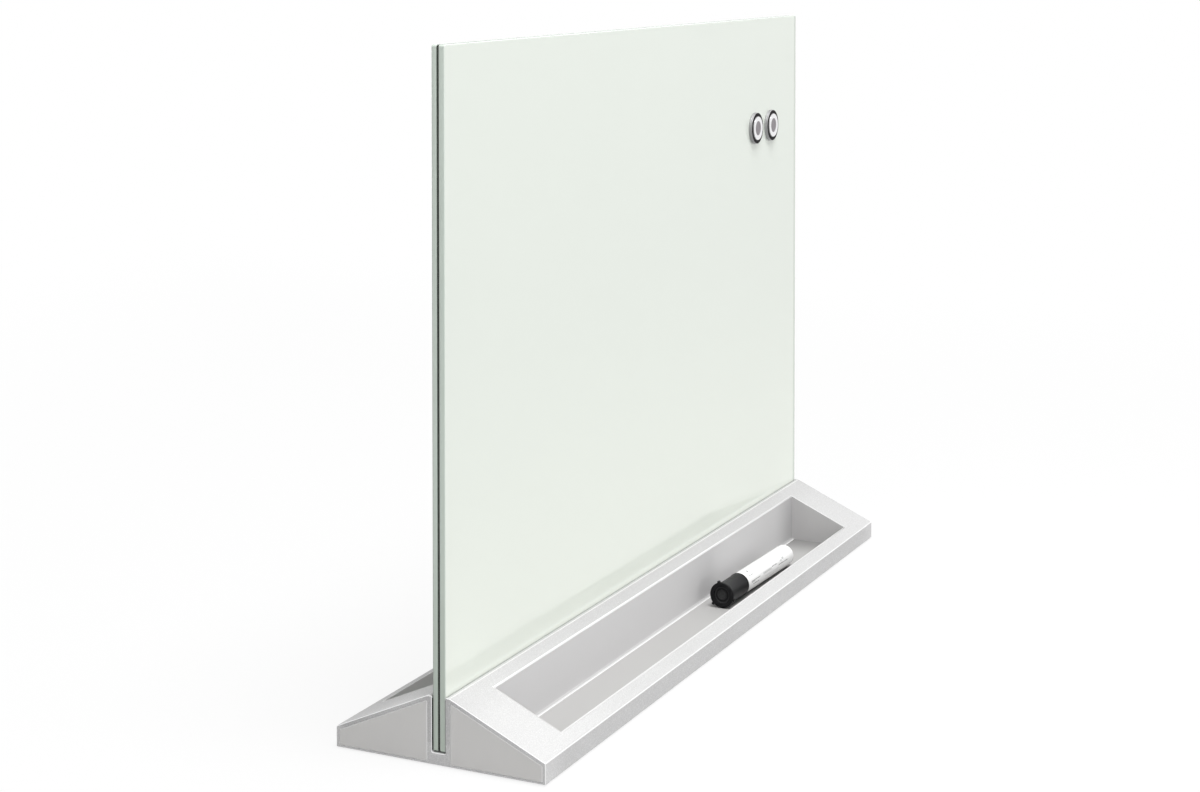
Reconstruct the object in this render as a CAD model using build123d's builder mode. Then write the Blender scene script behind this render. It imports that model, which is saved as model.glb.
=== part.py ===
from build123d import *
import os
from math import asin, atan, cos, radians, sin, tan

# Magnetic desk whiteboard easel: a two-sided glass board that stands in the slot of a long
# aluminium base with a pen tray on each side, with two board magnets and a capped marker.
# X runs along the board, -Y is the side with the marker and +Z is up. The origin lies on the
# desk under the middle of the base. Lengths are millimetres and angles are degrees.

os.makedirs("parts", exist_ok=True)

# Sides and ends: -1 is the front side or the left end, +1 the rear side or the right end.
SIDES = {"front": -1, "rear": 1}
ENDS = {"left": -1, "right": 1}

# Glass panel
glass_length = 589.0
glass_height = 423.0
glass_thickness = 4.0
glass_corner_radius = 1.5
glass_arris = 0.5
bond_film = 0.2
steel_thickness = 0.4
core_inset = 0.6

# Base extrusion, with heights measured from its underside
base_overhang = 1.0
base_depth = 143.6
lip_height = 12.8
ridge_height = 41.3
bottom_wall = 1.2
lip_wall = 2.0
slope_wall = 2.4
slot_wall = 3.0
slot_web = 7.3
slot_corner_radius = 1.0
ridge_round = 0.6
lip_round = 0.8
chamber_round = 1.0
end_arris = 0.4

# Tray window in each slope
window_end_margin = 39.0
window_inner_edge = 15.8
window_width = 47.0
window_corner_radius = 1.2
window_arris = 0.3

# Tray lining: a floor plate on the bottom wall, with two coved rails and two end plates on it
liner_clearance = 0.1
floor_thickness = 0.8
liner_wall = 0.9
liner_drop = 0.2
rail_foot_reach = 2.0
rail_foot_height = 0.2
rail_cove = 1.6

# End caps
cap_clearance = 0.1
cap_plate = 2.4
cap_arris = 0.5
skirt_inset = 0.5
skirt_wall = 1.2
skirt_depth = 12.0
skirt_rib_count = 3
crush_gap = 0.05

# Foot pads
foot_radius = 7.0
foot_thickness = 1.0
foot_arris = 0.3
foot_end_margin = 30.0
foot_side_margin = 16.0

# Slot strips and setting blocks
front_strip_thickness = 0.2
rear_strip_thickness = 0.2
strip_clearance = 0.1
strip_drop = 1.4
strip_foot = 0.4
block_thickness = 0.5
block_length = 100.0
block_clearance = 0.8

# Board magnets, placed from the glass's right end and top edge
magnet_end_distance = {"left": 92.5, "right": 58.8}
magnet_top_distance = 87.1
magnet_gap = 0.1
knob_radius = 12.5
knob_height = 3.3
flange_height = 1.3
groove_radius = 11.9
face_disc_height = 1.6
face_radius = 12.3
crown_radius = 9.3
crown_height = 0.8
dish_radius = 5.4
dish_depth = 0.5
ring_radius = 3.2
ring_height = 0.2
boss_radius = 1.4
magnet_disc_radius = 8.5
magnet_disc_height = 1.5
magnet_fit = 0.1
magnet_recess = 0.2
knob_arris = 0.2

# Marker, lying in the front tray with its cap to the left
marker_end_distance = 199.5
marker_inner_distance = 20.7
marker_yaw = 0.9
marker_gap = 0.3
marker_length = 130.0
barrel_radius = 8.1
barrel_wall = 1.3
cap_length = 33.0
cap_wall = 1.0
cap_mouth_radius = 8.2
cap_taper = 0.2
cap_lip_reach = 0.2
cap_lip_length = 1.2
cap_flange_radius = 9.3
cap_flange_length = 2.4
cap_round = 0.5
cap_dish_radius = 5.8
cap_dish_depth = 1.6
cap_ring_radius = 3.4
cap_ring_width = 0.8
cap_ring_height = 0.5
cap_end_wall = 1.6
cap_mouth_gap = 0.3
cap_bore_clearance = 0.3
cap_bore_narrowing = 0.9
ear_count = 3
ear_reach = 1.5
ear_width = 2.0
ear_round = 0.5
ear_angle = 105.0
neck_length = 12.0
plug_depth = 8.0
plug_clearance = 0.1
cone_step = 1.1
cone_length = 7.5
cone_tip_radius = 3.4
nib_radius = 2.3
nib_reach = 4.2
nib_clearance = 0.1
reservoir_clearance = 0.3
reservoir_end_gap = 1.8

# Worked-out sizes of the base
base_length = glass_length + 2 * base_overhang
window_length = base_length - 2 * window_end_margin
half_length = base_length / 2
half_depth = base_depth / 2
panel_thickness = 2 * (glass_thickness + bond_film) + steel_thickness
slot_width = panel_thickness + 2 * strip_clearance + front_strip_thickness + rear_strip_thickness
slot_half = slot_width / 2
ridge_half = slot_half + slot_wall
slope_angle = atan((ridge_height - lip_height) / (half_depth - ridge_half))
underside_z = foot_thickness
slot_floor_z = underside_z + slot_web
bottom_wall_z = underside_z + bottom_wall
tray_floor_z = bottom_wall_z + floor_thickness
ridge_z = underside_z + ridge_height
window_outer_edge = window_inner_edge + window_width
window_middle = (window_inner_edge + window_outer_edge) / 2
cutter_top = 2 * ridge_z


def slope_z(distance):
    """Height of the sloped top at a distance from the middle plane."""
    return ridge_z - (distance - ridge_half) * tan(slope_angle)


def chamber_outline(side, inset):
    """Corners (y, z) of one hollow chamber, drawn in by inset from each wall."""
    inner = ridge_half + inset
    outer = half_depth - lip_wall - inset
    low = bottom_wall_z + inset
    drop = (slope_wall + inset) / cos(slope_angle)
    return [
        (side * inner, low),
        (side * outer, low),
        (side * outer, slope_z(outer) - drop),
        (side * inner, slope_z(inner) - drop),
    ]


def finish(builder, name):
    """Label a finished piece and write it."""
    builder.part.label = name
    export_step(builder.part, f"parts/{name}.step")


# ---------------------------------------------------------------- base extrusion
with BuildPart() as base_extrusion:
    with BuildSketch(Plane.YZ.offset(-half_length)) as profile:
        with BuildLine():
            Polyline(
                (-half_depth, underside_z),
                (-half_depth, underside_z + lip_height),
                (-ridge_half, ridge_z),
                (ridge_half, ridge_z),
                (half_depth, underside_z + lip_height),
                (half_depth, underside_z),
                close=True,
            )
        make_face()
        fillet(profile.vertices().filter_by_position(Axis.X, -ridge_half, ridge_half), ridge_round)
        outer_corners = profile.vertices().group_by(Axis.X)
        fillet(outer_corners[0] + outer_corners[-1], lip_round)
        with BuildSketch(mode=Mode.PRIVATE) as slot_section:
            with Locations((0, slot_floor_z)):
                Rectangle(slot_width, ridge_height, align=(Align.CENTER, Align.MIN))
            fillet(slot_section.vertices().group_by(Axis.Y)[0], slot_corner_radius)
        add(slot_section.sketch, mode=Mode.SUBTRACT)
        for side in SIDES.values():
            with BuildSketch(mode=Mode.PRIVATE) as chamber:
                with BuildLine():
                    Polyline(*chamber_outline(side, 0), close=True)
                make_face()
                fillet(chamber.vertices(), chamber_round)
            add(chamber.sketch, mode=Mode.SUBTRACT)
    extrude(amount=base_length)

    end_faces = base_extrusion.faces().filter_by(Axis.X)
    chamfer(end_faces.sort_by(Axis.X)[0].outer_wire().edges(), end_arris)
    end_faces = base_extrusion.faces().filter_by(Axis.X)
    chamfer(end_faces.sort_by(Axis.X)[-1].outer_wire().edges(), end_arris)

    for side in SIDES.values():
        with BuildSketch(Plane.XY.offset(tray_floor_z)):
            with Locations((0, side * window_middle)):
                RectangleRounded(window_length, window_width, window_corner_radius)
        extrude(amount=ridge_height, mode=Mode.SUBTRACT)
        slope_normal = Axis((0, 0, 0), (0, side * sin(slope_angle), cos(slope_angle)))
        window_rim = base_extrusion.faces().sort_by(slope_normal)[-1].inner_wires()[0]
        chamfer(window_rim.edges(), window_arris)
finish(base_extrusion, "base_extrusion")


# ---------------------------------------------------------------- tray linings
liner_length = window_length - 2 * liner_clearance
liner_width = window_width - 2 * liner_clearance
liner_corner_radius = window_corner_radius - liner_clearance
tray_length = liner_length - 2 * liner_wall
rail_foot_z = tray_floor_z + rail_foot_height
rail_faces = (
    (window_inner_edge + liner_clearance, 1),
    (window_outer_edge - liner_clearance, -1),
)


def rim_z(distance):
    """Height of a lining's rim at a distance from the middle plane."""
    return slope_z(distance) - liner_drop / cos(slope_angle)


for side_name, side in SIDES.items():
    with BuildPart() as tray_floor:
        with BuildSketch(Plane.XY.offset(bottom_wall_z)):
            with Locations((0, side * window_middle)):
                RectangleRounded(liner_length, liner_width, liner_corner_radius)
        extrude(amount=floor_thickness)
    finish(tray_floor, f"{side_name}_tray_floor")

    with BuildPart() as tray_rails:
        with BuildSketch(Plane.YZ.offset(-tray_length / 2)) as rail_sections:
            for face, inward in rail_faces:
                wall = face + inward * liner_wall
                toe = wall + inward * rail_foot_reach
                with BuildLine():
                    Polyline(
                        (side * face, tray_floor_z),
                        (side * face, rim_z(face)),
                        (side * wall, rim_z(wall)),
                        (side * wall, rail_foot_z),
                        (side * toe, rail_foot_z),
                        (side * toe, tray_floor_z),
                        close=True,
                    )
                make_face()
            foot_corners = rail_sections.vertices().group_by(Axis.Y)[1].sort_by(Axis.X)
            fillet([foot_corners[0], foot_corners[-1]], rail_cove)
        extrude(amount=tray_length)
    finish(tray_rails, f"{side_name}_tray_rails")

    with BuildPart() as tray_end_plates:
        with BuildSketch(Plane.XY.offset(tray_floor_z)):
            with Locations((0, side * window_middle)):
                RectangleRounded(liner_length, liner_width, liner_corner_radius)
                Rectangle(tray_length, liner_width, mode=Mode.SUBTRACT)
        extrude(amount=ridge_height)
        with BuildSketch(Plane.YZ.offset(-half_length)):
            with BuildLine():
                Polyline(
                    (0, rim_z(0)),
                    (side * half_depth, rim_z(half_depth)),
                    (side * half_depth, cutter_top),
                    (0, cutter_top),
                    close=True,
                )
            make_face()
        extrude(amount=base_length, mode=Mode.SUBTRACT)
    finish(tray_end_plates, f"{side_name}_tray_end_plates")


# ---------------------------------------------------------------- end caps
skirt_face = cap_clearance + skirt_inset
skirt_inner = skirt_face + skirt_wall
chamber_width = half_depth - lip_wall - ridge_half
rib_pitch = chamber_width / (skirt_rib_count + 1)

for side_name, side in SIDES.items():
    for end_name, end in ENDS.items():
        with BuildPart() as end_cap:
            with BuildSketch(Plane.YZ.offset(end * half_length)) as cap_outline:
                with BuildLine():
                    Polyline(*chamber_outline(side, cap_clearance), close=True)
                make_face()
                fillet(cap_outline.vertices(), chamber_round - cap_clearance)
            extrude(amount=-end * cap_plate)
            visible_face = end_cap.faces().sort_by(Axis.X, reverse=end > 0)[0]
            chamfer(visible_face.edges(), cap_arris)
            with BuildSketch(Plane.YZ.offset(end * (half_length - cap_plate))):
                with BuildLine():
                    Polyline(*chamber_outline(side, skirt_face), close=True)
                make_face()
                with BuildLine(mode=Mode.PRIVATE) as inner_wire:
                    Polyline(*chamber_outline(side, skirt_inner), close=True)
                make_face(inner_wire.edges(), mode=Mode.SUBTRACT)
                with BuildSketch(mode=Mode.PRIVATE) as ribs:
                    with BuildLine():
                        Polyline(*chamber_outline(side, crush_gap), close=True)
                    make_face()
                    with Locations((side * (ridge_half + chamber_width / 2), underside_z)):
                        with GridLocations(rib_pitch, 0, skirt_rib_count, 1):
                            Rectangle(skirt_wall, cutter_top, mode=Mode.INTERSECT)
                add(ribs.sketch)
            extrude(amount=-end * skirt_depth)
        finish(end_cap, f"{side_name}_{end_name}_end_cap")


# ---------------------------------------------------------------- foot pads
with BuildPart() as foot_pads:
    foot_pitch_x = 2 * (half_length - foot_end_margin)
    foot_pitch_y = 2 * (half_depth - foot_side_margin)
    with GridLocations(foot_pitch_x, foot_pitch_y, 2, 2):
        Cylinder(foot_radius, foot_thickness, align=(Align.CENTER, Align.CENTER, Align.MIN))
    chamfer(foot_pads.faces().filter_by(Axis.Z).group_by(Axis.Z)[0].edges(), foot_arris)
finish(foot_pads, "foot_pads")


# ---------------------------------------------------------------- slot strips and setting blocks
strip_thickness = {"front": front_strip_thickness, "rear": rear_strip_thickness}
strip_bottom_z = slot_floor_z + slot_corner_radius + strip_foot
strip_height = ridge_z - strip_drop - strip_bottom_z

for side_name, side in SIDES.items():
    thickness = strip_thickness[side_name]
    with BuildPart() as slot_strip:
        with BuildSketch(Plane.YZ.offset(-half_length + end_arris)) as section:
            with Locations((side * (slot_half - thickness / 2), strip_bottom_z)):
                Rectangle(thickness, strip_height, align=(Align.CENTER, Align.MIN))
            top_corners = section.vertices().group_by(Axis.Y)[-1]
            fillet(top_corners.sort_by(Axis.X, reverse=side < 0)[0], thickness / 2)
        extrude(amount=base_length - 2 * end_arris)
    finish(slot_strip, f"{side_name}_slot_strip")

panel_y = (front_strip_thickness - rear_strip_thickness) / 2
block_spacing = glass_length / 2

with BuildPart() as glass_setting_blocks:
    with Locations((0, panel_y, slot_floor_z)):
        with GridLocations(block_spacing, 0, 2, 1):
            Box(
                block_length,
                panel_thickness - 2 * block_clearance,
                block_thickness,
                align=(Align.CENTER, Align.CENTER, Align.MIN),
            )
finish(glass_setting_blocks, "glass_setting_blocks")


# ---------------------------------------------------------------- glass panel
panel_half = panel_thickness / 2
glass_bottom_z = slot_floor_z + block_thickness
glass_middle_z = glass_bottom_z + glass_height / 2

for side_name, side in SIDES.items():
    with BuildPart() as glass_pane:
        with BuildSketch(Plane.XZ.offset(-panel_y - side * panel_half)):
            with Locations((0, glass_middle_z)):
                RectangleRounded(glass_length, glass_height, glass_corner_radius)
        extrude(amount=side * glass_thickness)
        chamfer(glass_pane.faces().filter_by(Axis.Y).edges(), glass_arris)
    finish(glass_pane, f"{side_name}_glass")

core_length = glass_length - 2 * core_inset
core_height = glass_height - 2 * core_inset

with BuildPart() as steel_sheet:
    with Locations((0, panel_y, glass_middle_z)):
        Box(core_length, steel_thickness, core_height)
finish(steel_sheet, "steel_sheet")

for side_name, side in SIDES.items():
    with BuildPart() as film:
        film_y = panel_y + side * (steel_thickness + bond_film) / 2
        with Locations((0, film_y, glass_middle_z)):
            Box(core_length, bond_film, core_height)
    finish(film, f"{side_name}_bond_film")


# ---------------------------------------------------------------- board magnets
pocket_radius = magnet_disc_radius + magnet_fit
pocket_depth = magnet_recess + magnet_disc_height + magnet_fit
face_disc_back = knob_height - face_disc_height
dish_floor = knob_height - dish_depth
groove_middle = (flange_height + face_disc_back) / 2
crown_foot = knob_height - crown_height

magnet_y = panel_y - panel_half - magnet_gap
magnet_z = glass_bottom_z + glass_height - magnet_top_distance

for magnet_name, end_distance in magnet_end_distance.items():
    magnet_seat = (glass_length / 2 - end_distance, magnet_y, magnet_z)
    magnet_plane = Plane(origin=magnet_seat, x_dir=(1, 0, 0), z_dir=(0, 0, -1))
    magnet_axis = Axis(magnet_seat, (0, -1, 0))

    with BuildPart() as magnet_knob:
        with BuildSketch(magnet_plane):
            with BuildLine():
                Polyline(
                    (face_radius - knob_arris, face_disc_back),
                    (face_radius, face_disc_back + knob_arris),
                    (face_radius, crown_foot - knob_arris),
                    (face_radius - knob_arris, crown_foot),
                    (crown_radius, crown_foot),
                    (crown_radius, knob_height - knob_arris),
                    (crown_radius - knob_arris, knob_height),
                    (dish_radius + dish_depth, knob_height),
                    (dish_radius, dish_floor),
                    (ring_radius + ring_height, dish_floor),
                    (ring_radius, dish_floor + ring_height),
                    (ring_radius - ring_height, dish_floor),
                    (boss_radius, dish_floor),
                    (boss_radius - ring_height, dish_floor + ring_height),
                    (0, dish_floor + ring_height),
                    (0, pocket_depth),
                    (pocket_radius, pocket_depth),
                    (pocket_radius, 0),
                    (knob_radius - knob_arris, 0),
                    (knob_radius, knob_arris),
                    (knob_radius, flange_height - knob_arris),
                    (knob_radius - knob_arris, flange_height),
                )
                ThreePointArc(
                    (knob_radius - knob_arris, flange_height),
                    (groove_radius, groove_middle),
                    (face_radius - knob_arris, face_disc_back),
                )
            make_face()
        revolve(axis=magnet_axis)
    finish(magnet_knob, f"{magnet_name}_magnet_knob")

    with BuildPart() as magnet_disc:
        with BuildSketch(magnet_plane):
            with Locations((0, magnet_recess)):
                Rectangle(magnet_disc_radius, magnet_disc_height, align=(Align.MIN, Align.MIN))
        revolve(axis=magnet_axis)
        chamfer(magnet_disc.edges(), knob_arris)
    finish(magnet_disc, f"{magnet_name}_magnet_disc")


# ---------------------------------------------------------------- marker
# The marker rests on the cap's flange and on its own round end, so its axis drops a little
# towards the far end. Profiles are drawn as (distance from the cap's end, radius).
round_end = marker_length - barrel_radius
marker_tilt = asin((cap_flange_radius - barrel_radius) / round_end)
marker_origin = (
    window_length / 2 - marker_end_distance,
    -window_inner_edge - marker_inner_distance,
    tray_floor_z + marker_gap + cap_flange_radius,
)
yaw = radians(marker_yaw)
marker_direction = (cos(yaw) * cos(marker_tilt), -sin(yaw) * cos(marker_tilt), -sin(marker_tilt))
marker_plane = Plane(origin=marker_origin, x_dir=marker_direction, z_dir=(-sin(yaw), -cos(yaw), 0))
marker_axis = Axis(marker_origin, marker_direction)
marker_end_plane = Plane(
    origin=marker_origin,
    x_dir=marker_plane.z_dir,
    z_dir=-marker_plane.x_dir,
)

barrel_start = cap_length + cap_mouth_gap
bore_radius = barrel_radius - barrel_wall
cap_bore = cap_mouth_radius - cap_wall
collar_radius = cap_bore - cap_bore_clearance
neck_start = barrel_start - neck_length
cone_tip = neck_start - cone_length
plug_end = barrel_start + plug_depth
cap_bore_end = cap_dish_depth + cap_end_wall
reservoir_start = plug_end + nib_clearance
reservoir_end = round_end - reservoir_end_gap

with BuildPart() as marker_barrel:
    with BuildSketch(marker_plane):
        with BuildLine():
            Line((barrel_start, bore_radius), (barrel_start, barrel_radius))
            Line((barrel_start, barrel_radius), (round_end, barrel_radius))
            RadiusArc((round_end, barrel_radius), (marker_length, 0), barrel_radius)
            Line((marker_length, 0), (marker_length - barrel_wall, 0))
            RadiusArc((round_end, bore_radius), (marker_length - barrel_wall, 0), bore_radius)
            Line((round_end, bore_radius), (barrel_start, bore_radius))
        make_face()
    revolve(axis=marker_axis)
finish(marker_barrel, "marker_barrel")

with BuildPart() as marker_nib_holder:
    with BuildSketch(marker_plane):
        with BuildLine():
            Polyline(
                (cone_tip, nib_radius + nib_clearance),
                (cone_tip, cone_tip_radius),
                (neck_start, collar_radius - cone_step),
                (neck_start, collar_radius),
                (barrel_start, collar_radius),
                (barrel_start, bore_radius - plug_clearance),
                (plug_end, bore_radius - plug_clearance),
                (plug_end, nib_radius + nib_clearance),
                close=True,
            )
        make_face()
    revolve(axis=marker_axis)
finish(marker_nib_holder, "marker_nib_holder")

with BuildPart() as marker_nib:
    with BuildSketch(marker_plane):
        with BuildLine():
            Line((cone_tip - nib_reach, 0), (plug_end, 0))
            Line((plug_end, 0), (plug_end, nib_radius))
            Line((plug_end, nib_radius), (cone_tip - nib_reach + nib_radius, nib_radius))
            RadiusArc(
                (cone_tip - nib_reach, 0),
                (cone_tip - nib_reach + nib_radius, nib_radius),
                nib_radius,
            )
        make_face()
    revolve(axis=marker_axis)
finish(marker_nib, "marker_nib")

with BuildPart() as marker_reservoir:
    with BuildSketch(marker_plane):
        with Locations((reservoir_start, 0)):
            Rectangle(
                reservoir_end - reservoir_start,
                bore_radius - reservoir_clearance,
                align=(Align.MIN, Align.MIN),
            )
    revolve(axis=marker_axis)
finish(marker_reservoir, "marker_reservoir")

with BuildPart() as marker_cap:
    with BuildSketch(marker_plane):
        with BuildLine():
            Polyline(
                (cap_dish_depth, 0),
                (cap_dish_depth, cap_ring_radius - cap_ring_width),
                (cap_dish_depth - cap_ring_height, cap_ring_radius - cap_ring_width),
                (cap_dish_depth - cap_ring_height, cap_ring_radius),
                (cap_dish_depth, cap_ring_radius),
                (cap_dish_depth, cap_dish_radius),
                (0, cap_dish_radius + cap_round),
                (0, cap_flange_radius - cap_round),
                (cap_round, cap_flange_radius),
                (cap_flange_length, cap_flange_radius),
                (cap_flange_length, cap_mouth_radius - cap_taper),
                (cap_length - cap_lip_length, cap_mouth_radius),
                (cap_length - cap_lip_length, cap_mouth_radius + cap_lip_reach),
                (cap_length, cap_mouth_radius + cap_lip_reach),
                (cap_length, cap_bore),
                (neck_start - cap_bore_clearance, cap_bore),
                (cap_bore_end, cap_bore - cap_bore_narrowing),
                (cap_bore_end, 0),
                close=True,
            )
        make_face()
    revolve(axis=marker_axis)
    with BuildSketch(marker_end_plane):
        with PolarLocations(cap_flange_radius, ear_count, start_angle=ear_angle):
            RectangleRounded(2 * ear_reach, ear_width, ear_round)
    extrude(amount=-cap_flange_length)
finish(marker_cap, "marker_cap")
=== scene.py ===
"""A two-sided magnetic glass board for a desk, in the slot of a long base with pen trays.

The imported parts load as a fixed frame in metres: X runs along the board, -Y is the marker's side
and +Z is up. Each class builds and dresses one sub-assembly in that frame, with its sizes in
millimetres, and main() builds them in order, lights them and sets the camera.
"""

import logging
import math
from dataclasses import dataclass, replace
from enum import Enum
from typing import Any, Mapping, Optional, Sequence, Union

import bmesh
import bpy
from mathutils import Matrix, Vector


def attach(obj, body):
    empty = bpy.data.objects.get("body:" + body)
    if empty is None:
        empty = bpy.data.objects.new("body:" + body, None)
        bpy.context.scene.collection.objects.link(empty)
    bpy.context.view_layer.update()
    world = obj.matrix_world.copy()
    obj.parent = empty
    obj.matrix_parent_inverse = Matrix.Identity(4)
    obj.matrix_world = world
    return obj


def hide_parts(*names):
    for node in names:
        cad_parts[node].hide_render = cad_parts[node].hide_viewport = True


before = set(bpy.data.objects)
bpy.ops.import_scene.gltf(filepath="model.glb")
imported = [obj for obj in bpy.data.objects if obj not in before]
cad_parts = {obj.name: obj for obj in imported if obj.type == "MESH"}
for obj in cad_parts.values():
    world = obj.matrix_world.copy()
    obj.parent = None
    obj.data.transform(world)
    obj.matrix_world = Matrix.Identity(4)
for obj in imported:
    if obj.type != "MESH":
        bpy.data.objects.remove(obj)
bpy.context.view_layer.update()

LOG = logging.getLogger("glass_board")
MM = 0.001
Colour = tuple[float, float, float, float]
Point = tuple[float, float]
BMesh, Material, Mesh = bmesh.types.BMesh, bpy.types.Material, bpy.types.Mesh
BLACK: Colour = (0.0, 0.0, 0.0, 1.0)
# The colour of painted highlights.
PAINTED_HIGHLIGHT: Colour = (0.95, 0.95, 0.95, 1.0)
WHITE: Colour = (1.0, 1.0, 1.0, 1.0)


class Side(Enum):
    """The two long sides of the base, by the sign of Y."""

    FRONT = -1
    REAR = 1


class End(Enum):
    """The two ends of the base, by the sign of X."""

    LEFT = -1
    RIGHT = 1


class PanePart(Enum):
    """The parts of a pane, by the number of the finish that each takes."""

    FACE = 0
    EDGE = 1
    OUTER_ARRIS = 2
    INNER_ARRIS = 3


# ------------------------------------------------------------------ shader tools
class Value:
    """A number in a shader, which adds, subtracts, multiplies and divides like any number."""

    def __init__(self, nodes: "Nodes", socket: bpy.types.NodeSocket) -> None:
        """Wrap one output socket.

        Args:
            nodes: The node tree that the socket is in.
            socket: The output that gives the number.
        """
        self.nodes = nodes
        self.socket = socket

    def __add__(self, other: "Number") -> "Value":
        """self + other."""
        return self.nodes.maths("ADD", self, other)

    def __radd__(self, other: float) -> "Value":
        """other + self."""
        return self.nodes.maths("ADD", other, self)

    def __sub__(self, other: "Number") -> "Value":
        """self - other."""
        return self.nodes.maths("SUBTRACT", self, other)

    def __rsub__(self, other: float) -> "Value":
        """other - self."""
        return self.nodes.maths("SUBTRACT", other, self)

    def __mul__(self, other: "Number") -> "Value":
        """self * other."""
        return self.nodes.maths("MULTIPLY", self, other)

    def __rmul__(self, other: float) -> "Value":
        """other * self."""
        return self.nodes.maths("MULTIPLY", other, self)

    def __truediv__(self, other: "Number") -> "Value":
        """self / other."""
        return self.nodes.maths("DIVIDE", self, other)

    def __rtruediv__(self, other: float) -> "Value":
        """other / self."""
        return self.nodes.maths("DIVIDE", other, self)

    def __abs__(self) -> "Value":
        """The number without its sign."""
        return self.nodes.maths("ABSOLUTE", self)

    def __or__(self, other: "Number") -> "Value":
        """The larger of two numbers, which joins two masks."""
        return self.nodes.maths("MAXIMUM", self, other)

    def __and__(self, other: "Number") -> "Value":
        """The smaller of two numbers, which keeps what two masks share."""
        return self.nodes.maths("MINIMUM", self, other)

    def rise(self, low: float, high: float) -> "Value":
        """A smooth step from 0 at low to 1 at high.

        Args:
            low: Where the step starts.
            high: Where it ends. Below low, the step falls instead.

        Returns:
            The step, from 0 to 1.
        """
        flipped = high < low
        step = self.nodes.node(
            "ShaderNodeMapRange",
            {"interpolation_type": "SMOOTHSTEP"},
            {"Value": self, "From Min": min(low, high), "From Max": max(low, high)},
        )
        mask = Value(self.nodes, step.outputs["Result"])
        return 1.0 - mask if flipped else mask

    def band(self, middle: float, half: float, soft: float) -> "Value":
        """A mask that is 1 within half of middle and fades over soft.

        Args:
            middle: The middle of the band.
            half: Half the band's width.
            soft: The width of its soft edge.

        Returns:
            The mask, from 0 to 1.
        """
        return abs(self - middle).rise(half + soft, half)


Number = Union[float, Value]


@dataclass(frozen=True)
class Cloud:
    """The sizes of cloudy noise.

    Attributes:
        size: The size of one patch in millimetres.
        detail: How many finer layers it has.
        stretch: How much longer the patches are along each axis.
        span: The levels between which it is sharpened to run from 0 to 1, if it is.
    """

    size: float
    detail: float = 2.0
    stretch: Sequence[float] = (1, 1, 1)
    span: Sequence[float] = ()


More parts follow.
